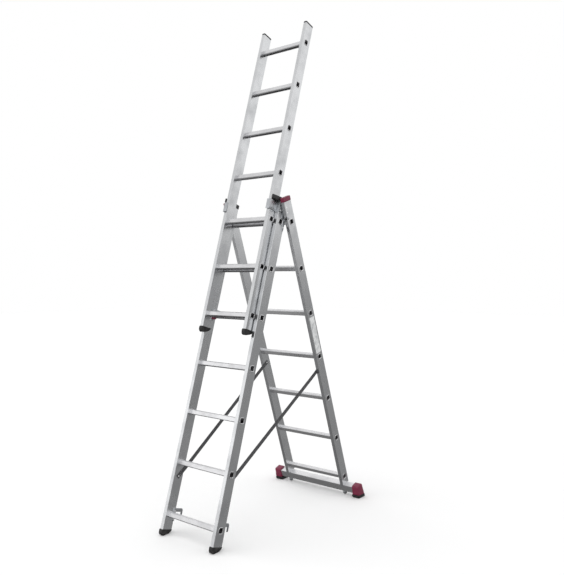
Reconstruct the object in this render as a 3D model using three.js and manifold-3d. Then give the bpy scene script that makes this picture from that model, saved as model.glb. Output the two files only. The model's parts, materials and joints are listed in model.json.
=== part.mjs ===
// Three-section combination ladder: front section, rear section and sliding extension.
// Millimetres, +Z up. The front (climbing) side faces -Y.
import * as THREE from 'three';
import { mergeVertices } from 'three/addons/utils/BufferGeometryUtils.js';
import Module from 'manifold-3d';

const wasm = await Module();
wasm.setup();

// Driving dimensions
const degree = Math.PI / 180;
const gap = 0.3;                 // between pieces that touch
const pitch = 280;               // rung to rung along the stile
const rungCount = 7;
const rungSize = 28;
const rungWall = 1.2;
const rungChamfer = 4;
const flareSize = 36;            // swaged ring at each rung end
const flareThick = 0.9;
const stileDepth = 68;
const stileThick = 22;
const stileWall = 1.4;
const stileChamfer = 2;
const sectionOffset = 50;        // between the rung planes of nested sections
const frontLean = 16.9 * degree;
const frontFirstRung = 107;      // first rung above the floor, along the stile
const rearFirstRung = 133;
const extendedPitches = 4;       // rungs that the extension is run out
const extensionHalf = 174;       // outer half widths
const frontHalf = 201;
const rearHalf = 230;
const frontHeadAbove = 112;      // stile top above the top rung
const rearHeadAbove = 120;
const extensionHeadAbove = 118;
const frontPivotAbove = 29;      // head pivot above the top rung, along each stile
const rearPivotAbove = 27;
const pinRadius = 4;
const pinClearance = 0.5;
const pinHeadRadius = 8;
const pinHeadThick = 2;
const footHeight = 27;
const footForward = 37;
const footBack = 35;
const footProud = 1.5;
const beamTop = 80;
const beamHeight = 46;
const beamDepth = 44;
const beamWall = 1.6;
const beamHalf = 288;
const barHalf = 336;
const soleThick = 20;
const boltRadius = 12;
const boltHeight = 20;
const boltForward = 12;
const frontCapHeight = 24;
const rearCapHeight = 26;
const topCapHeight = 10;
const hookThick = 4;
const plateThick = 2;
const strapWidth = 25;
const strapThick = 1.6;
const strapTab = 10;              // past each anchor
const strapStraight = 75;        // flat against the stile before it crosses the gap
const frontStrapLevel = 312;     // anchors, along the stiles
const rearStrapLevel = 893;

// Head geometry worked out from the dimensions above
const halfOffset = sectionOffset / 2;
const topRung = (rungCount - 1) * pitch;
const frontPivot = frontFirstRung + topRung + frontPivotAbove;
const rearPivot = rearFirstRung + topRung + rearPivotAbove;
const pivotHeight = frontPivot * Math.cos(frontLean) - halfOffset * Math.sin(frontLean);
const rearReach = Math.hypot(rearPivot, halfOffset);
const rearLean = Math.acos(pivotHeight / rearReach) - Math.atan2(halfOffset, rearPivot);
const pivotDepth = frontPivot * Math.sin(frontLean) + halfOffset * Math.cos(frontLean);
const rearSpread = pivotDepth + halfOffset * Math.cos(rearLean) + rearPivot * Math.sin(rearLean);

// Colours and finishes
const finishes = {
  aluminium: { color: 0xd4d6d8, roughness: 0.38, metalness: 0.9 },
  steel: { color: 0xaab0b5, roughness: 0.4, metalness: 0.95 },
  rubber: { color: 0x17181a, roughness: 0.85, metalness: 0 },
  black: { color: 0x1d1e20, roughness: 0.55, metalness: 0 },
  red: { color: 0x7d1230, roughness: 0.5, metalness: 0 },
  webbing: { color: 0x3c3d40, roughness: 0.9, metalness: 0 },
};

function piece(name, geometry, finish) {
  const mesh = new THREE.Mesh(geometry, new THREE.MeshStandardMaterial(finishes[finish]));
  mesh.name = name;
  return mesh;
}

function outlineShape(points) {
  return new THREE.Shape(points.map(([a, b]) => new THREE.Vector2(a, b)));
}

// A flat outline in X and Y, carried up along Z
function column(shape, bottom, top) {
  return new THREE.ExtrudeGeometry(shape, { depth: top - bottom, bevelEnabled: false }).translate(0, 0, bottom);
}

// A flat outline in Y and Z, carried across along X
function prism(shape, low, high) {
  const across = new THREE.Matrix4().makeBasis(
    new THREE.Vector3(0, 1, 0), new THREE.Vector3(0, 0, 1), new THREE.Vector3(1, 0, 0));
  const length = high - low;
  const geometry = new THREE.ExtrudeGeometry(shape, { depth: length, bevelEnabled: false });
  return geometry.applyMatrix4(across).translate(low, 0, 0);
}

// Prism on the right or left side, from its distances to the middle plane
function sidePrism(shape, side, near, far) {
  return side > 0 ? prism(shape, near, far) : prism(shape, -far, -near);
}

function chamferedBox(width, height, chamfer, centreX = 0, centreY = 0) {
  const a = width / 2, b = height / 2, c = chamfer;
  const corners = [[-a + c, -b], [a - c, -b], [a, -b + c], [a, b - c],
    [a - c, b], [-a + c, b], [-a, b - c], [-a, -b + c]];
  return outlineShape(corners.map(([x, y]) => [x + centreX, y + centreY]));
}

function hollow(shape, inner) {
  shape.holes.push(new THREE.Path(inner.getPoints()));
  return shape;
}

function solid(geometry) {
  const bare = geometry.clone();
  bare.deleteAttribute('normal');
  bare.deleteAttribute('uv');
  const merged = mergeVertices(bare, 1e-4);
  return new wasm.Manifold(new wasm.Mesh({
    numProp: 3,
    vertProperties: merged.attributes.position.array,
    triVerts: new Uint32Array(merged.index.array),
  }));
}

function surface(manifold) {
  const mesh = manifold.getMesh();
  const geometry = new THREE.BufferGeometry();
  geometry.setAttribute('position', new THREE.BufferAttribute(new Float32Array(mesh.vertProperties), 3));
  geometry.setIndex(new THREE.BufferAttribute(new Uint32Array(mesh.triVerts), 1));
  return geometry;
}

function joined(first, ...rest) {
  return surface(rest.reduce((body, next) => body.add(solid(next)), solid(first)));
}

function cut(body, tools) {
  return surface(tools.reduce((left, tool) => left.subtract(solid(tool)), solid(body)));
}

// Mirror across the middle plane, keeping the faces pointing out
function mirrored(geometry) {
  const flipped = geometry.clone().scale(-1, 1, 1);
  const index = flipped.index.array;
  for (let i = 0; i < index.length; i += 3) [index[i], index[i + 1]] = [index[i + 1], index[i]];
  return flipped;
}

function acrossCylinder(radius, low, high, y, z, sides = 16) {
  return new THREE.CylinderGeometry(radius, radius, high - low, sides)
    .rotateZ(Math.PI / 2).translate((low + high) / 2, y, z);
}

// Hollow box stile with a hole for every rung, and a pin hole where the head pivot passes
function stile(side, half, bottom, top, levels, pivot) {
  const centre = side * (half - stileThick / 2);
  const section = hollow(
    chamferedBox(stileThick, stileDepth, stileChamfer, centre),
    chamferedBox(stileThick - 2 * stileWall, stileDepth - 2 * stileWall, stileChamfer / 2, centre));
  const holeShape = chamferedBox(rungSize + 2 * gap, rungSize + 2 * gap, rungChamfer);
  const near = half - stileThick - 1, far = half + 1;
  const holes = levels.map((z) => sidePrism(holeShape, side, near, far).translate(0, 0, z));
  if (pivot) holes.push(acrossCylinder(pinRadius + pinClearance, near, far, pivot.y, pivot.z)
    .translate(side > 0 ? 0 : -near - far, 0, 0));
  return cut(column(section, bottom, top), holes);
}

// Hollow square rung with a swaged ring outside each stile; the ring's hole lies inside the tube's wall
function rung(half) {
  const bore = rungSize - 2 * rungWall;
  const socket = rungSize - rungWall;
  const start = half + gap;
  const end = start + flareThick;
  const tube = hollow(chamferedBox(rungSize, rungSize, rungChamfer), chamferedBox(bore, bore, rungChamfer - 1));
  const ring = (side) => sidePrism(hollow(
    chamferedBox(flareSize, flareSize, rungChamfer + 3), chamferedBox(socket, socket, rungChamfer - 0.5)),
  side, start, end);
  const length = end + flareThick / 2;
  return joined(prism(tube, -length, length), ring(1), ring(-1));
}

function rungLevels(first) {
  return Array.from({ length: rungCount }, (_, i) => first + i * pitch);
}

// Rubber foot: a low cup under the stile whose rounded sole lies on the floor line, with the toe in front.
// The outline is [distance behind the stile's middle, height above the floor line].
function foot(side, half) {
  const sole = [[-footForward, 23], [-footForward + 2, 14], [-footForward + 8, 5], [-footForward + 17, 0],
    [footBack - 27, 0], [footBack - 14, 3], [footBack - 5, 8], [footBack, 14]]
    .map(([y, height]) => [y, height + y * Math.tan(frontLean)]);
  const cup = [[footBack, footHeight], [-stileDepth / 2 - footProud, footHeight],
    [-stileDepth / 2 - footProud - 2, footHeight - 6]];
  return sidePrism(outlineShape([...sole, ...cup]), side, half - stileThick - footProud, half + footProud);
}

// Hook plate on the inner face of a stile, measured from its own rung; its throat takes the next
// section's rung
const hookPlateFront = 17;
const hookPlateBack = 33;
const hookPlateBottom = -34;
const hookTop = 34;
const throatTop = rungSize / 2 + 0.4;
const hookTipFront = 72;
const hookTipBack = 84;
const hookTipBottom = -10;

function hook(side, half, level) {
  const outline = [[hookPlateFront, hookPlateBottom], [hookPlateBack, hookPlateBottom],
    [hookPlateBack, throatTop], [hookTipFront, throatTop], [hookTipFront, hookTipBottom],
    [hookTipBack, hookTipBottom], [hookTipBack, hookTop - 8], [hookTipBack - 8, hookTop],
    [hookPlateFront, hookTop]];
  const far = half - stileThick - gap;
  const plate = sidePrism(outlineShape(outline), side, far - hookThick, far);
  return plate.translate(0, 0, level);
}

// Safety latch beside an extension hook, with its pin in the hook plate
const latchPivot = { y: 25, z: -20 };
const latchHub = 6;
const latchReach = 28;
const latchPinRadius = 3;

function latchHole(side) {
  const far = extensionHalf - stileThick;
  const near = far - hookThick;
  const geometry = acrossCylinder(latchPinRadius + gap, near - 1, far + 1, latchPivot.y, latchPivot.z);
  return side > 0 ? geometry : geometry.translate(-near - far, 0, 0);
}

function latch(side, level) {
  const far = extensionHalf - stileThick - gap - hookThick - gap;
  const finger = [[-latchHub, -latchHub], [latchHub, -latchHub], [latchReach, -1], [latchReach, 4],
    [latchHub, 4], [-latchHub, latchHub]];
  const plate = prism(outlineShape(finger), far - hookThick, far).translate(0, latchPivot.y, latchPivot.z);
  const pin = acrossCylinder(latchPinRadius, far - 1, far + gap + hookThick, latchPivot.y, latchPivot.z);
  const body = joined(plate, pin).translate(0, 0, level);
  return side > 0 ? body : mirrored(body);
}

// Bent sheet that holds the extension stile against the front section's head
const guideBottom = 50;          // above the top rung
const guideTop = 108;
const guideNear = extensionHalf + 2.2;
const guideFront = 92;
const guideLip = 150;
const guideTail = -6;            // the sheet's end on the stile's outer face

function guideBracket(side) {
  const inner = frontHalf + gap, outer = inner + plateThick;
  const face = stileDepth / 2 + gap;
  const points = [[inner, guideTail], [outer, guideTail], [outer, -face - plateThick],
    [guideNear + plateThick, -face - plateThick], [guideNear + plateThick, -guideFront],
    [guideLip, -guideFront], [guideLip, -guideFront + plateThick], [guideNear, -guideFront + plateThick],
    [guideNear, -face], [inner, -face]];
  const level = frontFirstRung + topRung;
  const shape = outlineShape(points.map(([x, y]) => [side * x, y]));
  return column(shape, level + guideBottom, level + guideTop);
}

// Sheet hinge plate round the head pin; its outline is measured from the pin
function headPlate(side, near, outline) {
  const hole = acrossCylinder(pinRadius + pinClearance, near - 1, near + plateThick + 1, 0, 0);
  const body = cut(prism(outlineShape(outline), near, near + plateThick), [hole]);
  return side > 0 ? body : mirrored(body);
}

const frontPlateOutline = [[-24, -8], [-6, -8], [-4, -58], [4, -82], [9, -62], [9, 74], [-24, 74]];
const rearPlateOutline = [[-9, -2], [-3, -8], [18, -8], [24, -2], [24, 74], [-9, 74]];

// Head pin through both stiles, with a flat head at each end
function headPin(side) {
  const start = frontHalf - stileThick - gap - pinHeadThick;
  const finish = rearHalf + gap + pinHeadThick;
  const profile = [[0, start], [pinHeadRadius, start], [pinHeadRadius, start + pinHeadThick],
    [pinRadius, start + pinHeadThick], [pinRadius, finish - pinHeadThick],
    [pinHeadRadius, finish - pinHeadThick], [pinHeadRadius, finish], [0, finish]];
  const turned = new THREE.LatheGeometry(profile.map(([r, x]) => new THREE.Vector2(r, x)), 16);
  const body = surface(solid(turned.rotateZ(-Math.PI / 2)));
  return (side > 0 ? body : mirrored(body)).translate(0, -halfOffset, rearPivot);
}

function frontHeadCap(side) {
  const base = frontFirstRung + topRung + frontHeadAbove + gap;
  const outline = [[guideNear, -88], [guideNear + 8, -88], [frontHalf + 1.5, -32], [frontHalf + 1.5, 35],
    [frontHalf - stileThick, 35], [guideNear, 31]];
  return column(outlineShape(outline.map(([x, y]) => [side * x, y])), base, base + frontCapHeight);
}

function rearHeadCap(side) {
  const base = rearFirstRung + topRung + rearHeadAbove + gap;
  const centre = side * (rearHalf - stileThick / 2);
  return column(chamferedBox(stileThick + 3, stileDepth + 6, 5, centre), base, base + rearCapHeight);
}

function extensionTopCap(side) {
  const base = extensionHeadAbove + gap + topRung;
  const centre = side * (extensionHalf - stileThick / 2);
  return column(chamferedBox(stileThick + 2, stileDepth + 2, 4, centre), base, base + topCapHeight);
}

// Crossbar pieces; the floor runs through the rear frame's origin at the rear lean
const rearFloor = (y) => -y * Math.tan(rearLean);

function crossbar() {
  const middle = beamTop - beamHeight / 2;
  const outer = chamferedBox(beamDepth, beamHeight, 2, 0, middle);
  const inner = chamferedBox(beamDepth - 2 * beamWall, beamHeight - 2 * beamWall, 1, 0, middle);
  return prism(hollow(outer, inner), -beamHalf, beamHalf);
}

function crossbarEndCap(side) {
  const lift = soleThick + gap;
  const outline = [[-33, rearFloor(-33) + lift], [33, rearFloor(33) + lift], [32, rearFloor(32) + lift + 8],
    [27, 60], [26, 82], [20, 88], [-20, 88], [-26, 82], [-27, 60], [-32, rearFloor(-32) + lift + 8]];
  return sidePrism(outlineShape(outline), side, beamHalf + gap, barHalf);
}

function crossbarSole(side) {
  const outline = [[-32, rearFloor(-32)], [32, rearFloor(32)], [35, rearFloor(35) + 4],
    [35, rearFloor(35) + soleThick], [-35, rearFloor(-35) + soleThick], [-35, rearFloor(-35) + 4]];
  return sidePrism(outlineShape(outline), side, beamHalf - 2, barHalf - 1);
}

function crossbarBolt(side) {
  const top = beamTop - beamHeight - gap;
  return new THREE.CylinderGeometry(boltRadius, boltRadius, boltHeight, 20).rotateX(Math.PI / 2)
    .translate(side * (rearHalf - stileThick / 2), -boltForward, top - boltHeight / 2);
}

// Webbing strap from the front stile's inner face to the rear stile's inner face
function strap(side) {
  const start = { y: frontStrapLevel * Math.sin(frontLean), z: frontStrapLevel * Math.cos(frontLean) };
  const end = { y: rearSpread - rearStrapLevel * Math.sin(rearLean), z: rearStrapLevel * Math.cos(rearLean) };
  const length = Math.hypot(end.y - start.y, end.z - start.z);
  const near = frontHalf - stileThick - gap - strapThick / 2;
  const far = rearHalf - stileThick - gap - strapThick / 2;
  const t = strapThick / 2;
  const route = [[-strapTab, near], [strapStraight, near],
    [length - strapStraight, far], [length + strapTab, far]];
  const outline = [...route.map(([l, x]) => [l, x - t]), ...route.reverse().map(([l, x]) => [l, x + t])];
  const band = new THREE.ExtrudeGeometry(outlineShape(outline), { depth: strapWidth, bevelEnabled: false });
  band.translate(0, 0, -strapWidth / 2);
  // shape X runs along the strap, shape Y is the row's X, the band's width closes the set
  const rise = Math.atan2(end.z - start.z, end.y - start.y);
  const along = new THREE.Vector3(0, Math.cos(rise), Math.sin(rise));
  const out = new THREE.Vector3(1, 0, 0);
  const wide = new THREE.Vector3().crossVectors(along, out);
  band.applyMatrix4(new THREE.Matrix4().makeBasis(along, out, wide)).translate(0, start.y, start.z);
  const body = surface(solid(band));
  return side > 0 ? body : mirrored(body);
}

const sides = [['right', 1], ['left', -1]];
const frontLevels = rungLevels(frontFirstRung);
const rearLevels = rungLevels(rearFirstRung);
const extensionLevels = rungLevels(0);

// Front section, leaning back from the floor line at Y = 0
const frontFrame = new THREE.Group();
frontFrame.rotation.x = -frontLean;
for (const [word, side] of sides) {
  const top = frontFirstRung + topRung + frontHeadAbove;
  const pivot = { y: halfOffset, z: frontPivot };
  const tube = stile(side, frontHalf, footHeight + gap, top, frontLevels, pivot);
  const plate = headPlate(side, frontHalf + gap, frontPlateOutline).translate(0, halfOffset, frontPivot);
  frontFrame.add(
    piece(`front_stile_${word}`, tube, 'aluminium'),
    piece(`front_foot_${word}`, foot(side, frontHalf), 'rubber'),
    piece(`stile_guide_${word}`, guideBracket(side), 'steel'),
    piece(`front_head_cap_${word}`, frontHeadCap(side), 'black'),
    piece(`front_hinge_plate_${word}`, plate, 'steel'),
    piece(`front_hook_${word}`, hook(side, frontHalf, frontFirstRung), 'steel'));
}
frontLevels.forEach((z, i) => frontFrame.add(
  piece(`front_rung_${i + 1}`, rung(frontHalf).translate(0, 0, z), 'aluminium')));

// Extension section, in front of the front section's rungs
const extensionFrame = new THREE.Group();
extensionFrame.position.set(0, -sectionOffset, frontFirstRung + extendedPitches * pitch);
for (const [word, side] of sides) {
  const bottom = footHeight - frontFirstRung + gap;
  const top = topRung + extensionHeadAbove;
  const tube = stile(side, extensionHalf, bottom, top, extensionLevels);
  const hooked = cut(hook(side, extensionHalf, 0), [latchHole(side)]);
  extensionFrame.add(
    piece(`extension_stile_${word}`, tube, 'aluminium'),
    piece(`extension_foot_${word}`, foot(side, extensionHalf).translate(0, 0, -frontFirstRung), 'rubber'),
    piece(`extension_top_cap_${word}`, extensionTopCap(side), 'black'),
    piece(`extension_hook_${word}`, hooked, 'steel'),
    piece(`safety_latch_${word}`, latch(side, 0), 'red'));
}
extensionLevels.forEach((z, i) => extensionFrame.add(
  piece(`extension_rung_${i + 1}`, rung(extensionHalf).translate(0, 0, z), 'aluminium')));
frontFrame.add(extensionFrame);

// Rear section, leaning forward to the head pivot
const rearFrame = new THREE.Group();
rearFrame.rotation.x = rearLean;
rearFrame.position.y = rearSpread;
for (const [word, side] of sides) {
  const top = rearFirstRung + topRung + rearHeadAbove;
  const pivot = { y: -halfOffset, z: rearPivot };
  const plateNear = rearHalf - stileThick - gap - plateThick;
  const plate = headPlate(side, plateNear, rearPlateOutline).translate(0, -halfOffset, rearPivot);
  rearFrame.add(
    piece(`rear_stile_${word}`, stile(side, rearHalf, beamTop + gap, top, rearLevels, pivot), 'aluminium'),
    piece(`rear_hinge_plate_${word}`, plate, 'steel'),
    piece(`head_pin_${word}`, headPin(side), 'steel'),
    piece(`rear_head_cap_${word}`, rearHeadCap(side), 'red'),
    piece(`crossbar_end_cap_${word}`, crossbarEndCap(side), 'red'),
    piece(`crossbar_sole_${word}`, crossbarSole(side), 'rubber'),
    piece(`crossbar_bolt_${word}`, crossbarBolt(side), 'steel'));
}
rearLevels.forEach((z, i) => rearFrame.add(
  piece(`rear_rung_${i + 1}`, rung(rearHalf).translate(0, 0, z), 'aluminium')));
rearFrame.add(piece('crossbar', crossbar(), 'aluminium'));

const ladder = new THREE.Group();
ladder.add(frontFrame, rearFrame);
for (const [word, side] of sides) ladder.add(piece(`spreader_strap_${word}`, strap(side), 'webbing'));

// Origin: middle of the footprint, on the floor
const box = new THREE.Box3().setFromObject(ladder, true);
ladder.position.y = -(box.min.y + box.max.y) / 2;

export default ladder;
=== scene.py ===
import json
from math import cos, pi, radians, sin

import bmesh
import bpy
from mathutils import Matrix, Vector


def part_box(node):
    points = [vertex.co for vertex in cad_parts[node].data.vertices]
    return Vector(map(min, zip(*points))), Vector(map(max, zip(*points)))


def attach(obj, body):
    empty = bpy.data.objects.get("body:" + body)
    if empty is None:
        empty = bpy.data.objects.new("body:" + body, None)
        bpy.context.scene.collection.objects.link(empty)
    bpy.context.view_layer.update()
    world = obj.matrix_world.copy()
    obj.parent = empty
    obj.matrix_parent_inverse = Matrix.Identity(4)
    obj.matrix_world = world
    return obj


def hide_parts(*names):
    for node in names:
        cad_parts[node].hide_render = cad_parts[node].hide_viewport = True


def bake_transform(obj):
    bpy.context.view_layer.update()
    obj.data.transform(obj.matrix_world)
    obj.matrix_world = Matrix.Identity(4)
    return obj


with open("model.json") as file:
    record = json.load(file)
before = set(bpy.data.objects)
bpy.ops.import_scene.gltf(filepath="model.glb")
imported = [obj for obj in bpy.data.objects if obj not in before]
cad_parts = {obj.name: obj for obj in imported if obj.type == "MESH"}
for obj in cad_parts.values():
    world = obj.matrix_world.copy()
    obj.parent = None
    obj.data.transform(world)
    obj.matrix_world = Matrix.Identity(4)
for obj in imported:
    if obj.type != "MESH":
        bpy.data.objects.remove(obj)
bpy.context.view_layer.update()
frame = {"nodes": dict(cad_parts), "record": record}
sides = {"right": 1, "left": -1}
mm = 0.001


view = {"fromFrontFoot": (2.523, -2.3735, 1.407), "footToRung": 0.107,
        "turn": 38.63, "tilt": -1.05, "lens": 41.11}
# brightness of what the metal mirrors, by height; the shares of front say how the wall in front
# differs from the rest near the horizon, high up and towards the floor
studio = {"ground": 0.03, "low": 0.35, "high": 1.15, "front": 0.45, "frontHigh": -0.55,
          "frontLow": 0.6, "seen": 1.0, "keyStrength": 1.0, "keyAngle": 75, "keyFrom": (-2.6, -4.2, 6.0),
          "floorSize": 40, "floorGrey": 0.93}
# where each of these starts and ends: wall by how far a direction points back, the others by its height
bands = {"ground": (-0.62, -0.36), "sky": (0.0, 0.12), "wall": (-0.75, 0.05),
         "rise": (-0.25, -0.02), "fall": (0.12, 0.5), "spill": (-0.45, -0.2)}


def addCamera():
    data = bpy.data.cameras.new("viewCamera")
    data.lens = view["lens"]
    data.sensor_width = 36
    camera = bpy.data.objects.new("viewCamera", data)
    foot = sectionFrame("front") @ Vector((0, 0, -view["footToRung"]))
    camera.location = foot + Vector(view["fromFrontFoot"])
    camera.rotation_euler = (radians(90 + view["tilt"]), 0, radians(view["turn"]))
    bpy.context.scene.collection.objects.link(camera)
    bpy.context.scene.camera = camera


def addWorld():
    world = bpy.data.worlds.new("studio")
    bpy.context.scene.world = world
    world.use_nodes = True
    nodes, links = world.node_tree.nodes, world.node_tree.links
    nodes.clear()
    coords = nodes.new("ShaderNodeTexCoord")
    split = nodes.new("ShaderNodeSeparateXYZ")
    links.new(coords.outputs["Generated"], split.inputs[0])

    def ramp(source, low, high, where):
        node = nodes.new("ShaderNodeMapRange")
        node.interpolation_type = "SMOOTHSTEP"
        for socket, value in zip(("From Min", "From Max", "To Min", "To Max"), (*bands[where], low, high)):
            node.inputs[socket].default_value = value
        links.new(source, node.inputs["Value"])
        return node.outputs[0]

    def maths(operation, a, b):
        node = nodes.new("ShaderNodeMath")
        node.operation = operation
        for socket, value in zip(node.inputs, (a, b)):
            if isinstance(value, (int, float)):
                socket.default_value = value
            else:
                links.new(value, socket)
        return node.outputs[0]

    height = split.outputs["Z"]
    below = ramp(height, studio["ground"], studio["low"], "ground")
    above = ramp(height, 0, studio["high"] - studio["low"], "sky")
    wall = ramp(split.outputs["Y"], studio["front"], 0, "wall")
    band = maths("MULTIPLY", ramp(height, 0, 1, "rise"), ramp(height, 1, studio["frontHigh"], "fall"))
    band = maths("ADD", band, ramp(height, studio["frontLow"], 0, "spill"))
    light = maths("ADD", maths("ADD", below, above), maths("MULTIPLY", wall, band))
    background = nodes.new("ShaderNodeBackground")
    links.new(light, background.inputs["Strength"])
    seen = nodes.new("ShaderNodeBackground")
    seen.inputs["Strength"].default_value = studio["seen"]
    seen.inputs["Color"].default_value = (1, 1, 1, 1)
    path = nodes.new("ShaderNodeLightPath")
    mix = nodes.new("ShaderNodeMixShader")
    output = nodes.new("ShaderNodeOutputWorld")
    links.new(path.outputs["Is Camera Ray"], mix.inputs[0])
    links.new(background.outputs[0], mix.inputs[1])
    links.new(seen.outputs[0], mix.inputs[2])
    links.new(mix.outputs[0], output.inputs[0])


def setTone():
    bpy.context.scene.view_settings.view_transform = "Standard"
    bpy.context.scene.view_settings.look = "None"


def addKeyLight():
    data = bpy.data.lights.new("softKey", "SUN")
    data.energy = studio["keyStrength"]
    data.angle = radians(studio["keyAngle"])
    light = bpy.data.objects.new("softKey", data)
    light.location = studio["keyFrom"]
    light.rotation_euler = (-light.location).to_track_quat("-Z", "Y").to_euler()
    light.visible_glossy = False
    bpy.context.scene.collection.objects.link(light)


def addFloor():
    half = studio["floorSize"] / 2
    corners = [(-half, -half, 0), (half, -half, 0), (half, half, 0), (-half, half, 0)]
    floor = meshObject("floor", corners, [(0, 1, 2, 3)])
    material, shader = newMaterial("paleFloor")
    shader.inputs["Base Color"].default_value = (*[studio["floorGrey"]] * 3, 1)
    shader.inputs["Roughness"].default_value = 0.9
    floor.data.materials.append(material)
    floor.visible_glossy = False


def meshObject(name, points, faces):
    mesh = bpy.data.meshes.new(name)
    mesh.from_pydata([tuple(p) for p in points], [], faces)
    mesh.update()
    obj = bpy.data.objects.new(name, mesh)
    bpy.context.scene.collection.objects.link(obj)
    return obj


def cleanNormals(mesh):
    bm = bmesh.new()
    bm.from_mesh(mesh)
    bmesh.ops.remove_doubles(bm, verts=bm.verts, dist=1e-6)
    bmesh.ops.recalc_face_normals(bm, faces=bm.faces)
    bm.to_mesh(mesh)
    bm.free()


def smooth(mesh, angle=35):
    mesh.polygons.foreach_set("use_smooth", [True] * len(mesh.polygons))
    mesh.set_sharp_from_angle(angle=radians(angle))


def baked(obj):
    depsgraph = bpy.context.evaluated_depsgraph_get()
    mesh = bpy.data.meshes.new_from_object(obj.evaluated_get(depsgraph))
    obj.modifiers.clear()
    obj.data = mesh
    return obj


def joinPieces(name, pieces):
    bm = bmesh.new()
    material = pieces[0].data.materials[0]
    for piece in pieces:
        bm.from_mesh(piece.data)
        bpy.data.objects.remove(piece)
    joined = meshObject(name, [], [])
    bm.to_mesh(joined.data)
    bm.free()
    joined.data.materials.append(material)
    return joined


def centreOf(node):
    low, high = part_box(node)
    return (low + high) / 2


def sectionFrame(section):
    # local X across, Y towards the back, Z up the stiles, from the middle of the lowest rung
    first, last = centreOf(section + "_rung_1"), centreOf(section + "_rung_7")
    up = (last - first).normalized()
    back = Vector((0, up.z, -up.y))
    axes = Matrix((Vector((1, 0, 0)), back, up)).transposed().to_4x4()
    return Matrix.Translation(first) @ axes


def leanOf(section):
    up = sectionFrame(section).to_3x3() @ Vector((0, 0, 1))
    return Vector((up.z, up.y)).angle_signed(Vector((1, 0)))


bodyOf = {node: body for body, nodes in frame["record"]["behaviour"]["bodies"].items() for node in nodes}
pitch = (centreOf("front_rung_2") - centreOf("front_rung_1")).length
rungCount = 7
halfWidth = {name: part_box(name + "_stile_right")[1].x for name in ("front", "extension", "rear")}
stileThick = halfWidth["front"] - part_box("front_stile_right")[0].x


def newGroup(name, inputs, outputs):
    group = bpy.data.node_groups.new(name, "ShaderNodeTree")
    for label, kind, value in inputs:
        socket = group.interface.new_socket(name=label, in_out="INPUT", socket_type=kind)
        if value is not None:
            socket.default_value = value
    for label, kind in outputs:
        group.interface.new_socket(name=label, in_out="OUTPUT", socket_type=kind)
    return group, group.nodes.new("NodeGroupInput"), group.nodes.new("NodeGroupOutput")


def noiseNode(tree, vector, scale, detail=4, rough=0.55):
    node = tree.nodes.new("ShaderNodeTexNoise")
    node.inputs["Detail"].default_value = detail
    node.inputs["Roughness"].default_value = rough
    tree.links.new(vector, node.inputs["Vector"])
    if isinstance(scale, (int, float)):
        node.inputs["Scale"].default_value = scale
    else:
        tree.links.new(scale, node.inputs["Scale"])
    return node.outputs["Fac"]


fineDetail = {"drawnBump": 0.0003, "lineShade": (0.9, 0.9, 0.91), "pebbleBump": 0.0004,
              "mouldMarks": 38}
weave = {"fineness": 0.22, "bump": 0.0005, "strength": 0.6, "dark": (0.035, 0.035, 0.038),
         "light": (0.10, 0.10, 0.105), "roughness": 0.85, "sheen": 0.2}


def drawnGrainGroup():
    # fine lines that run the way the metal was drawn
    group, given, out = newGroup("drawnGrain", [
        ("Vector", "NodeSocketVector", None), ("Lean", "NodeSocketFloat", 0),
        ("Stretch", "NodeSocketVector", (1, 1, 0.01)), ("Fineness", "NodeSocketFloat", 900),
        ("Depth", "NodeSocketFloat", 0.2)], [("Lines", "NodeSocketFloat"), ("Normal", "NodeSocketVector")])
    turn = group.nodes.new("ShaderNodeVectorRotate")
    turn.rotation_type = "X_AXIS"
    group.links.new(given.outputs["Vector"], turn.inputs["Vector"])
    group.links.new(given.outputs["Lean"], turn.inputs["Angle"])
    pull = group.nodes.new("ShaderNodeVectorMath")
    pull.operation = "MULTIPLY"
    group.links.new(turn.outputs[0], pull.inputs[0])
    group.links.new(given.outputs["Stretch"], pull.inputs[1])
    lines = noiseNode(group, pull.outputs[0], given.outputs["Fineness"], 3, 0.6)
    bump = group.nodes.new("ShaderNodeBump")
    bump.inputs["Distance"].default_value = fineDetail["drawnBump"]
    group.links.new(given.outputs["Depth"], bump.inputs["Strength"])
    group.links.new(lines, bump.inputs["Height"])
    group.links.new(lines, out.inputs["Lines"])
    group.links.new(bump.outputs[0], out.inputs["Normal"])
    return group


def handlingMarksGroup():
    # soft patches where hands and boots have dulled the surface
    group, given, out = newGroup("handlingMarks", [
        ("Vector", "NodeSocketVector", None), ("Size", "NodeSocketFloat", 9),
        ("From", "NodeSocketFloat", 0.45), ("To", "NodeSocketFloat", 0.7)], [("Mask", "NodeSocketFloat")])
    patches = noiseNode(group, given.outputs["Vector"], given.outputs["Size"], 6, 0.6)
    span = group.nodes.new("ShaderNodeMapRange")
    group.links.new(patches, span.inputs["Value"])
    group.links.new(given.outputs["From"], span.inputs["From Min"])
    group.links.new(given.outputs["To"], span.inputs["From Max"])
    group.links.new(span.outputs[0], out.inputs["Mask"])
    return group


def mouldGrainGroup():
    # spark-eroded pebble of moulded plastic and rubber
    group, given, out = newGroup("mouldGrain", [
        ("Vector", "NodeSocketVector", None), ("Fineness", "NodeSocketFloat", 700),
        ("Depth", "NodeSocketFloat", 0.3)], [("Pebble", "NodeSocketFloat"), ("Normal", "NodeSocketVector")])
    pebble = noiseNode(group, given.outputs["Vector"], given.outputs["Fineness"], 2, 0.5)
    bump = group.nodes.new("ShaderNodeBump")
    bump.inputs["Distance"].default_value = fineDetail["pebbleBump"]
    group.links.new(given.outputs["Depth"], bump.inputs["Strength"])
    group.links.new(pebble, bump.inputs["Height"])
    group.links.new(pebble, out.inputs["Pebble"])
    group.links.new(bump.outputs[0], out.inputs["Normal"])
    return group


def newMaterial(name):
    material = bpy.data.materials.new(name)
    material.use_nodes = True
    return material, material.node_tree.nodes["Principled BSDF"]


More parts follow.
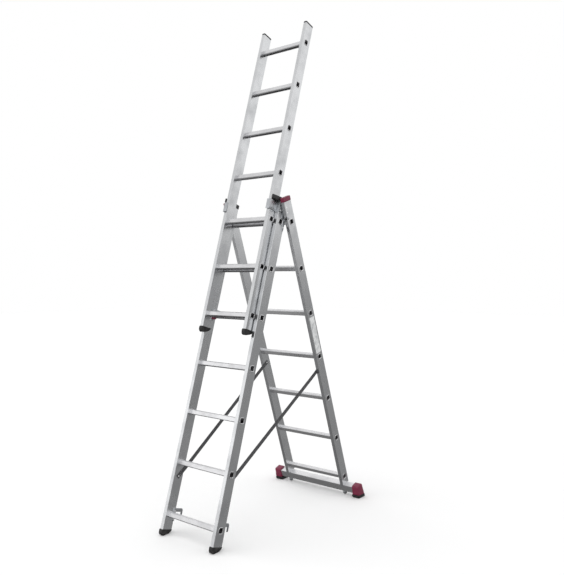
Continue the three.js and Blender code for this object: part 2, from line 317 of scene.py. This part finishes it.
def placeGroup(tree, group, vector, **values):
    node = tree.nodes.new("ShaderNodeGroup")
    node.node_tree = group
    tree.links.new(vector, node.inputs["Vector"])
    for label, value in values.items():
        node.inputs[label].default_value = value
    return node


def mixColours(tree, mask, first, second):
    mix = tree.nodes.new("ShaderNodeMix")
    mix.data_type = "RGBA"
    mix.inputs["A"].default_value = (*first, 1)
    mix.inputs["B"].default_value = (*second, 1)
    tree.links.new(mask, mix.inputs["Factor"])
    return mix.outputs["Result"]


def spread(tree, value, low, high):
    node = tree.nodes.new("ShaderNodeMapRange")
    node.inputs["To Min"].default_value = low
    node.inputs["To Max"].default_value = high
    tree.links.new(value, node.inputs["Value"])
    return node.outputs[0]


def metalMaterial(name, clean, dull, roughness, lean=0, stretch=(1, 1, 0.01), depth=0.2, fineness=900):
    material, shader = newMaterial(name)
    tree = material.node_tree
    coords = tree.nodes.new("ShaderNodeTexCoord").outputs["Object"]
    grain = placeGroup(tree, drawnGrain, coords, Lean=lean, Stretch=stretch, Depth=depth, Fineness=fineness)
    marks = placeGroup(tree, handlingMarks, coords)
    colour = mixColours(tree, marks.outputs["Mask"], clean, dull)
    shade = tree.nodes.new("ShaderNodeMix")
    shade.data_type = "RGBA"
    shade.blend_type = "MULTIPLY"
    shade.inputs["B"].default_value = (*fineDetail["lineShade"], 1)
    tree.links.new(grain.outputs["Lines"], shade.inputs["Factor"])
    tree.links.new(colour, shade.inputs["A"])
    tree.links.new(shade.outputs["Result"], shader.inputs["Base Color"])
    tree.links.new(spread(tree, marks.outputs["Mask"], *roughness), shader.inputs["Roughness"])
    tree.links.new(grain.outputs["Normal"], shader.inputs["Normal"])
    shader.inputs["Metallic"].default_value = 1
    return material


def mouldedMaterial(name, clean, worn, roughness, fineness=700, depth=0.3):
    material, shader = newMaterial(name)
    tree = material.node_tree
    coords = tree.nodes.new("ShaderNodeTexCoord").outputs["Object"]
    grain = placeGroup(tree, mouldGrain, coords, Fineness=fineness, Depth=depth)
    marks = placeGroup(tree, handlingMarks, coords, Size=fineDetail["mouldMarks"])
    tree.links.new(mixColours(tree, marks.outputs["Mask"], clean, worn), shader.inputs["Base Color"])
    tree.links.new(spread(tree, marks.outputs["Mask"], *roughness), shader.inputs["Roughness"])
    tree.links.new(grain.outputs["Normal"], shader.inputs["Normal"])
    return material


def webbingMaterial():
    # plain weave on the strap's own UV map, in millimetres
    material, shader = newMaterial("strapWebbing")
    tree = material.node_tree
    uv = tree.nodes.new("ShaderNodeUVMap").outputs["UV"]
    heights = []
    for direction in ("X", "Y"):
        wave = tree.nodes.new("ShaderNodeTexWave")
        wave.bands_direction = direction
        wave.inputs["Scale"].default_value = weave["fineness"]
        tree.links.new(uv, wave.inputs["Vector"])
        heights.append(wave.outputs["Fac"])
    crossed = tree.nodes.new("ShaderNodeMath")
    crossed.operation = "MULTIPLY"
    tree.links.new(heights[0], crossed.inputs[0])
    tree.links.new(heights[1], crossed.inputs[1])
    bump = tree.nodes.new("ShaderNodeBump")
    bump.inputs["Distance"].default_value = weave["bump"]
    bump.inputs["Strength"].default_value = weave["strength"]
    tree.links.new(crossed.outputs[0], bump.inputs["Height"])
    colour = mixColours(tree, crossed.outputs[0], weave["dark"], weave["light"])
    tree.links.new(colour, shader.inputs["Base Color"])
    tree.links.new(bump.outputs[0], shader.inputs["Normal"])
    shader.inputs["Roughness"].default_value = weave["roughness"]
    shader.inputs["Sheen Weight"].default_value = weave["sheen"]
    return material


drawnGrain = drawnGrainGroup()
handlingMarks = handlingMarksGroup()
mouldGrain = mouldGrainGroup()
aluminiumLook = {"clean": (0.80, 0.81, 0.82), "dull": (0.68, 0.69, 0.70), "roughness": (0.24, 0.36)}
materials = {
    "front": metalMaterial("stileAluminiumFront", lean=leanOf("front"), **aluminiumLook),
    "rear": metalMaterial("stileAluminiumRear", lean=leanOf("rear"), **aluminiumLook),
    "rung": metalMaterial("rungAluminium", (0.86, 0.86, 0.87), (0.74, 0.74, 0.75), (0.26, 0.42),
                          stretch=(0.01, 1, 1)),
    "zinc": metalMaterial("zincSteel", (0.62, 0.64, 0.66), (0.45, 0.46, 0.48), (0.3, 0.5),
                          stretch=(1, 1, 1), depth=0.25, fineness=350),
    "rubber": mouldedMaterial("footRubber", (0.012, 0.012, 0.013), (0.045, 0.044, 0.042), (0.62, 0.85), 420),
    "black": mouldedMaterial("blackMoulding", (0.016, 0.016, 0.018), (0.04, 0.04, 0.042), (0.42, 0.6)),
    "red": mouldedMaterial("redMoulding", (0.155, 0.010, 0.038), (0.21, 0.022, 0.058), (0.35, 0.52)),
    "thread": mouldedMaterial("strapThread", (0.12, 0.12, 0.12), (0.2, 0.2, 0.2), (0.7, 0.9), 1500),
    "vinyl": mouldedMaterial("blankLabel", (0.72, 0.73, 0.73), (0.42, 0.43, 0.44), (0.3, 0.45), 160, 0.02),
    "webbing": webbingMaterial(),
}


def dress(piece, look, body, replaced=()):
    if not piece.data.materials:
        piece.data.materials.append(materials[look])
    if replaced:
        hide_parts(*replaced)
    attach(piece, body)
    return piece


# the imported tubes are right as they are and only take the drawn-metal finish
def finishStiles():
    for section, look in (("front", "front"), ("extension", "front"), ("rear", "rear")):
        for side in sides:
            node = frame["nodes"][f"{section}_stile_{side}"]
            node.data.materials.clear()
            node.data.materials.append(materials[look])
    print("stiles finished")


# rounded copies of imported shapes: look, edge radius in millimetres, steps round each edge
fittings = {
    "front_foot": ("rubber", 3.0, 4), "extension_foot": ("rubber", 3.0, 4),
    "crossbar_sole": ("rubber", 2.5, 3), "crossbar_end_cap": ("red", 4.0, 4),
    "rear_head_cap": ("red", 5.0, 5), "safety_latch": ("red", 0.6, 2),
    "front_head_cap": ("black", 3.0, 4), "extension_top_cap": ("black", 2.5, 4),
    "stile_guide": ("zinc", 0.7, 3), "front_hinge_plate": ("zinc", 0.5, 2),
    "rear_hinge_plate": ("zinc", 0.5, 2), "head_pin": ("zinc", 0.6, 3),
    "front_hook": ("zinc", 0.9, 3), "extension_hook": ("zinc", 0.9, 3), "crossbar_bolt": ("zinc", 1.6, 3),
}


def roundedCopy(node, look, width, segments):
    mesh = frame["nodes"][node].data.copy()
    mesh.materials.clear()
    bm = bmesh.new()
    bm.from_mesh(mesh)
    bmesh.ops.remove_doubles(bm, verts=bm.verts, dist=1e-5)
    bmesh.ops.dissolve_limit(bm, angle_limit=radians(2), verts=bm.verts, edges=bm.edges)
    bm.to_mesh(mesh)
    bm.free()
    piece = bpy.data.objects.new(node + ".rounded", mesh)
    bpy.context.scene.collection.objects.link(piece)
    bevel = piece.modifiers.new("roundedEdges", "BEVEL")
    bevel.width = width * mm
    bevel.segments = segments
    bevel.limit_method = "ANGLE"
    bevel.angle_limit = radians(25)
    baked(piece)
    smooth(piece.data, 40)
    return dress(piece, look, bodyOf[node], [node])


def finishFittings():
    for stem, (look, width, segments) in fittings.items():
        for side in sides:
            roundedCopy(f"{stem}_{side}", look, width, segments)
    bar = frame["nodes"]["crossbar"]
    bar.data.materials.clear()
    bar.data.materials.append(materials["rung"])
    print("fittings rounded")


def rowTree(name, material):
    tree = bpy.data.node_groups.new(name, "GeometryNodeTree")
    for label, kind in (("Geometry", "NodeSocketGeometry"), ("Count", "NodeSocketInt"),
                        ("Step", "NodeSocketVector")):
        tree.interface.new_socket(name=label, in_out="INPUT", socket_type=kind)
    tree.interface.new_socket(name="Geometry", in_out="OUTPUT", socket_type="NodeSocketGeometry")
    given, out = tree.nodes.new("NodeGroupInput"), tree.nodes.new("NodeGroupOutput")
    line = tree.nodes.new("GeometryNodeMeshLine")
    copies = tree.nodes.new("GeometryNodeInstanceOnPoints")
    real = tree.nodes.new("GeometryNodeRealizeInstances")
    finish = tree.nodes.new("GeometryNodeSetMaterial")
    finish.inputs["Material"].default_value = material
    tree.links.new(given.outputs["Count"], line.inputs["Count"])
    tree.links.new(given.outputs["Step"], line.inputs["Offset"])
    tree.links.new(line.outputs["Mesh"], copies.inputs["Points"])
    tree.links.new(given.outputs["Geometry"], copies.inputs["Instance"])
    tree.links.new(copies.outputs["Instances"], real.inputs["Geometry"])
    tree.links.new(real.outputs[0], finish.inputs["Geometry"])
    tree.links.new(finish.outputs[0], out.inputs["Geometry"])
    return tree


def bakeRow(obj, tree, count, step):
    modifier = obj.modifiers.new("row", "NODES")
    modifier.node_group = tree
    sockets = {item.name: item.identifier for item in tree.interface.items_tree if item.in_out == "INPUT"}
    modifier[sockets["Count"]] = count
    modifier[sockets["Step"]] = tuple(step)
    return baked(obj)


# dome is the ring's face: how far a point lies back from the rung's end, and its share of the swell
rungShape = {"size": 28, "corner": 4, "flareCorner": 9, "wall": 1.2, "ribs": 6, "ribSpan": 18,
             "ribDepth": 0.8, "sidePoints": 30, "flare": 36, "flareThick": 1.35, "clear": 0.3,
             "dome": [(0.45, 0.1), (0, 0.4), (0.3, 0.7), (0.95, 1)], "lip": 1.2, "boreEase": 0.2,
             "collar": 32, "collarThick": 1.1, "collarRound": (0.4, 1.2), "run": 4}


def rungLoop(x, size, ribs=0.0):
    # one ring of points round the rung; ribs sinks the grooves of the two treads
    half, count = size / 2, rungShape["sidePoints"]
    swell = (size - rungShape["size"]) / (rungShape["flare"] - rungShape["size"])
    corner = rungShape["corner"] + (rungShape["flareCorner"] - rungShape["corner"]) * min(max(swell, 0), 1)
    loop = []
    for turn in range(4):
        for i in range(count):
            along = -(half - corner) + 2 * (half - corner) * i / (count - 1)
            groove = 0.5 - 0.5 * cos(2 * pi * rungShape["ribs"] * along / rungShape["ribSpan"])
            inside = abs(along) < rungShape["ribSpan"] / 2
            sink = ribs * groove if inside and turn % 2 else 0.0
            a, b = along, half - sink
            for _ in range(turn):
                a, b = b, -a
            loop.append((x, b, -a))
    return [Vector(p) * mm for p in loop]


def rungMesh(name, half):
    shape = rungShape
    half = half / mm
    end = half + shape["clear"] + shape["flareThick"]
    inner = half - stileThick / mm - shape["clear"]
    collar = inner - shape["collarThick"]
    collarEdge, collarDrop = shape["collarRound"]
    swell = shape["flare"] - shape["size"]
    halfRings = [(end - back, shape["size"] + share * swell, 0) for back, share in shape["dome"]]
    halfRings += [(half + shape["clear"], shape["flare"], 0), (half + shape["clear"], shape["size"], 0),
                  (inner, shape["size"], 0), (inner, shape["collar"], 0),
                  (collar + collarEdge, shape["collar"], 0), (collar, shape["collar"] - collarDrop, 0),
                  (collar, shape["size"], 0), (collar - shape["run"], shape["size"], shape["ribDepth"])]
    outer = [(x, s, r) for x, s, r in halfRings] + [(-x, s, r) for x, s, r in reversed(halfRings)]
    bore = shape["size"] - 2 * shape["wall"] - shape["boreEase"]
    inside = [(shape["lip"] - end, bore, 0), (end - shape["lip"], bore, 0)]
    rings = [rungLoop(*ring) for ring in outer + inside]
    count = len(rings[0])
    points = [p for ring in rings for p in ring]
    faces = []
    for r in range(len(rings)):
        s = (r + 1) % len(rings)
        for i in range(count):
            j = (i + 1) % count
            faces.append((r * count + i, r * count + j, s * count + j, s * count + i))
    obj = meshObject(name, points, faces)
    cleanNormals(obj.data)
    return obj


def addRungs():
    tree = rowTree("rungRow", materials["rung"])
    for section in ("front", "extension", "rear"):
        place = sectionFrame(section)
        rungs = rungMesh(section + "Rungs", halfWidth[section])
        rungs.data.transform(place)
        bakeRow(rungs, tree, rungCount, place.to_3x3() @ Vector((0, 0, pitch)))
        smooth(rungs.data, 30)
        nodes = [f"{section}_rung_{i}" for i in range(1, rungCount + 1)]
        dress(rungs, "rung", bodyOf[nodes[0]], nodes)
    print("rungs laid")


# a row: section, inward or outward face, distance from the middle, behind the rung line,
# above the lowest rung, how many, step
rivetShape = {"radius": 4.0, "height": 1.2, "sides": 14, "rings": 4, "rows": [
    ("front", -1, 174.7, 25, -24, 2, 42), ("front", 1, 203.3, -20, 1740, 2, 38),
    ("front", 1, 203.3, 12, 1738, 2, 30), ("front", -1, 176.9, 0, 205, 1, 1),
    ("front", 1, 203.3, 29, 1655, 1, 1), ("extension", -1, 147.7, 25, 2, 2, 18),
    ("rear", 1, 230, -20, 1738, 2, 30), ("rear", -1, 205.9, 0, 760, 1, 1)]}


def rivetMesh(name):
    shape = rivetShape
    points, faces = [(shape["height"], 0, 0)], []
    for ring in range(1, shape["rings"] + 1):
        bend = pi / 2 * ring / shape["rings"]
        for i in range(shape["sides"]):
            angle = 2 * pi * i / shape["sides"]
            points.append((shape["height"] * cos(bend), shape["radius"] * sin(bend) * cos(angle),
                           shape["radius"] * sin(bend) * sin(angle)))
    count = shape["sides"]
    for i in range(count):
        j = (i + 1) % count
        faces.append((0, 1 + i, 1 + j))
        for ring in range(shape["rings"] - 1):
            a = 1 + ring * count
            faces.append((a + i, a + count + i, a + count + j, a + j))
    faces.append(tuple(reversed(range(1 + (shape["rings"] - 1) * count, 1 + shape["rings"] * count))))
    return meshObject(name, [Vector(p) * mm for p in points], faces)


def addRivets():
    tree = rowTree("rivetRow", materials["zinc"])
    for section in ("front", "extension", "rear"):
        place, rows = sectionFrame(section), []
        for name, face, across, behind, above, count, step in rivetShape["rows"]:
            if name != section:
                continue
            for side in sides.values():
                rivet = rivetMesh("rivet")
                rivet.data.transform(Matrix.Scale(face * side, 4, Vector((1, 0, 0))))
                rivet.data.transform(Matrix.Translation(Vector((side * across, behind, above)) * mm))
                rivet.data.transform(place)
                cleanNormals(rivet.data)
                rows.append(bakeRow(rivet, tree, count, place.to_3x3() @ Vector((0, 0, step * mm))))
        rivets = joinPieces(section + "Rivets", rows)
        smooth(rivets.data, 50)
        dress(rivets, "zinc", bodyOf[section + "_stile_right"])
    print("rivets set")


# pressed triangle that stiffens each stile guide; corners lie behind and above the lowest rung
beadShape = {"radius": 1.3, "sides": 8, "corner": 6, "cornerSteps": 4, "face": 178.4,
             "corners": [(-82, 1738), (-46, 1740), (-62, 1780)]}


def beadLine():
    corners = [Vector(c) for c in beadShape["corners"]]
    points = []
    for i, corner in enumerate(corners):
        toLast = (corners[i - 1] - corner).normalized() * beadShape["corner"]
        toNext = (corners[(i + 1) % 3] - corner).normalized() * beadShape["corner"]
        for step in range(beadShape["cornerSteps"] + 1):
            t = step / beadShape["cornerSteps"]
            points.append(corner + toLast * (1 - t) ** 2 + toNext * t ** 2)
    return points


def beadMesh(side):
    line, n = beadLine(), beadShape["sides"]
    points, faces = [], []
    for i, middle in enumerate(line):
        along = (line[(i + 1) % len(line)] - line[i - 1]).normalized()
        out = Vector((along.y, -along.x))
        for j in range(n):
            angle = 2 * pi * j / n
            flat = middle + out * cos(angle) * beadShape["radius"]
            points.append(Vector((side * (beadShape["face"] + sin(angle) * beadShape["radius"]), *flat)) * mm)
    for i in range(len(line)):
        k = (i + 1) % len(line)
        faces += [(i * n + j, i * n + (j + 1) % n, k * n + (j + 1) % n, k * n + j) for j in range(n)]
    bead = meshObject("bead", points, faces)
    bead.data.transform(sectionFrame("front"))
    cleanNormals(bead.data)
    bead.data.materials.append(materials["zinc"])
    return bead


def addGuideBeads():
    beads = joinPieces("guideBeads", [beadMesh(side) for side in sides.values()])
    smooth(beads.data, 60)
    dress(beads, "zinc", "front_section")
    print("guides pressed")


# tab is what runs past each anchor, straight is flat on the stile, and loose is a
# share of the length
strapShape = {"width": 25, "thick": 1.4, "tab": 10, "straight": 75, "steps": 60, "frontAbove": 205,
              "rearAbove": 760, "clear": 0.3, "edge": 0.93, "edgeThick": 0.4, "loose": 0.3}
stitchShape = {"count": 9, "step": 2.2, "length": 1.5, "thick": 0.5, "sides": 6, "inset": 14,
               "offset": 8, "proud": 0.1}


def strapEnds(side):
    shape = strapShape
    start = sectionFrame("front") @ Vector((0, 0, shape["frontAbove"] * mm))
    end = sectionFrame("rear") @ Vector((0, 0, shape["rearAbove"] * mm))
    start.x = side * (halfWidth["front"] - stileThick - (shape["clear"] + shape["thick"] / 2) * mm)
    end.x = side * (halfWidth["rear"] - stileThick - (shape["clear"] + shape["thick"] / 2) * mm)
    return start, end


def strapLine(side, distance):
    # middle line of the strap: flat on each stile, slanting across between them
    start, end = strapEnds(side)
    flatRun = Vector((0, end.y - start.y, end.z - start.z))
    length, along = flatRun.length, flatRun.normalized()
    straight = strapShape["straight"] * mm
    share = min(max((distance - straight) / (length - 2 * straight), 0), 1)
    x = start.x + (end.x - start.x) * share
    return Vector((x, start.y, start.z)) + along * distance, along, length


def strapMesh(side, word):
    shape = strapShape
    _, _, length = strapLine(side, 0)
    tab, halfWide, halfThick = shape["tab"] * mm, shape["width"] / 2 * mm, shape["thick"] / 2 * mm
    points, faces, lengths = [], [], []
    edgeWide, edgeThick = halfWide * shape["edge"], halfThick * shape["edgeThick"]
    corners = [(-halfWide, -edgeThick), (-edgeWide, -halfThick), (edgeWide, -halfThick),
               (halfWide, -edgeThick), (halfWide, edgeThick), (edgeWide, halfThick),
               (-edgeWide, halfThick), (-halfWide, edgeThick)]
    for i in range(shape["steps"] + 1):
        distance = -tab + (length + 2 * tab) * i / shape["steps"]
        middle, along, _ = strapLine(side, distance)
        wide = along.cross(Vector((1, 0, 0)))
        lengths.append(distance)
        points += [middle + wide * w + Vector((t, 0, 0)) for w, t in corners]
    n = len(corners)
    for i in range(shape["steps"]):
        here, there = i * n, (i + 1) * n
        faces += [(here + j, here + (j + 1) % n, there + (j + 1) % n, there + j) for j in range(n)]
    faces += [tuple(range(n)), tuple(shape["steps"] * n + j for j in reversed(range(n)))]
    strap = meshObject(f"strap_{word}", points, faces)
    bm = bmesh.new()
    bm.from_mesh(strap.data)
    bmesh.ops.recalc_face_normals(bm, faces=bm.faces)
    uv = bm.loops.layers.uv.new("weave")
    for face in bm.faces:
        for loop in face.loops:
            row, column = divmod(loop.vert.index, n)
            loop[uv].uv = (lengths[row] / mm, corners[column][0] / mm)
    bm.to_mesh(strap.data)
    bm.free()
    smooth(strap.data, 50)
    return strap


def stitchMesh(along, wide):
    # one thread stitch: a short rod that tapers to a point at both ends
    half, thick = stitchShape["length"] / 2 * mm, stitchShape["thick"] / 2 * mm
    count = stitchShape["sides"]
    points = [-along * half, along * half]
    for end in (-0.5, 0.5):
        for i in range(count):
            angle = 2 * pi * i / count
            outward = wide * cos(angle) + Vector((1, 0, 0)) * sin(angle)
            points.append(along * half * end + outward * thick)
    faces = []
    for i in range(count):
        j = (i + 1) % count
        near, far = 2, 2 + count
        faces += [(near + i, near + j, far + j, far + i), (0, near + j, near + i), (1, far + i, far + j)]
    return meshObject("stitch", points, faces)


def stitchRows(side, tree):
    # two rows at each end of the strap, on the face that looks inwards
    shape, rows = stitchShape, []
    _, along, length = strapLine(side, 0)
    wide = along.cross(Vector((1, 0, 0)))
    for beginning in (shape["inset"] * mm, length - (shape["inset"] + shape["count"] * shape["step"]) * mm):
        middle, _, _ = strapLine(side, beginning)
        middle.x -= side * (strapShape["thick"] / 2 + shape["proud"]) * mm
        for offset in (-shape["offset"] * mm, shape["offset"] * mm):
            stitch = stitchMesh(along, wide)
            stitch.data.transform(Matrix.Translation(middle + wide * offset))
            cleanNormals(stitch.data)
            rows.append(bakeRow(stitch, tree, shape["count"], along * shape["step"] * mm))
    return rows


def addStraps():
    tree = rowTree("stitchRow", materials["thread"])
    for word, side in sides.items():
        start, end = strapEnds(side)
        start = start.lerp(end, strapShape["loose"])
        strap = strapMesh(side, word)
        strap.data.materials.append(materials["webbing"])
        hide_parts(f"spreader_strap_{word}")
        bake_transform(strap)
        stitches = joinPieces(f"strapStitches_{word}", stitchRows(side, tree))
        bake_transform(stitches)
    print("straps sewn")


labelShape = {"bottom": 865, "top": 1095, "width": 46, "thick": 0.2, "corner": 5, "cornerSteps": 6,
              "clear": 0.02}


def addLabel():
    shape = labelShape
    half, tall = shape["width"] / 2, (shape["top"] - shape["bottom"]) / 2
    outline = []
    for acrossSign, upSign, start in ((1, 1, 0), (-1, 1, 90), (-1, -1, 180), (1, -1, 270)):
        for i in range(shape["cornerSteps"] + 1):
            angle = radians(start + 90 / shape["cornerSteps"] * i)
            outline.append(((half - shape["corner"]) * acrossSign + shape["corner"] * cos(angle),
                            (tall - shape["corner"]) * upSign + shape["corner"] * sin(angle)))
    x = halfWidth["rear"] / mm + shape["clear"]
    middle = (shape["top"] + shape["bottom"]) / 2
    n = len(outline)
    points = [(x + lift, y, z + middle) for lift in (0, shape["thick"]) for y, z in outline]
    faces = [tuple(range(n)), tuple(range(n, 2 * n))]
    faces += [(i, (i + 1) % n, n + (i + 1) % n, n + i) for i in range(n)]
    label = meshObject("blankLabel", [sectionFrame("rear") @ (Vector(p) * mm) for p in points], faces)
    cleanNormals(label.data)
    dress(label, "vinyl", "rear_section")
    print("label stuck on")


addCamera()
setTone()
addWorld()
addKeyLight()
addFloor()
finishStiles()
finishFittings()
addRungs()
addRivets()
addGuideBeads()
addStraps()
addLabel()
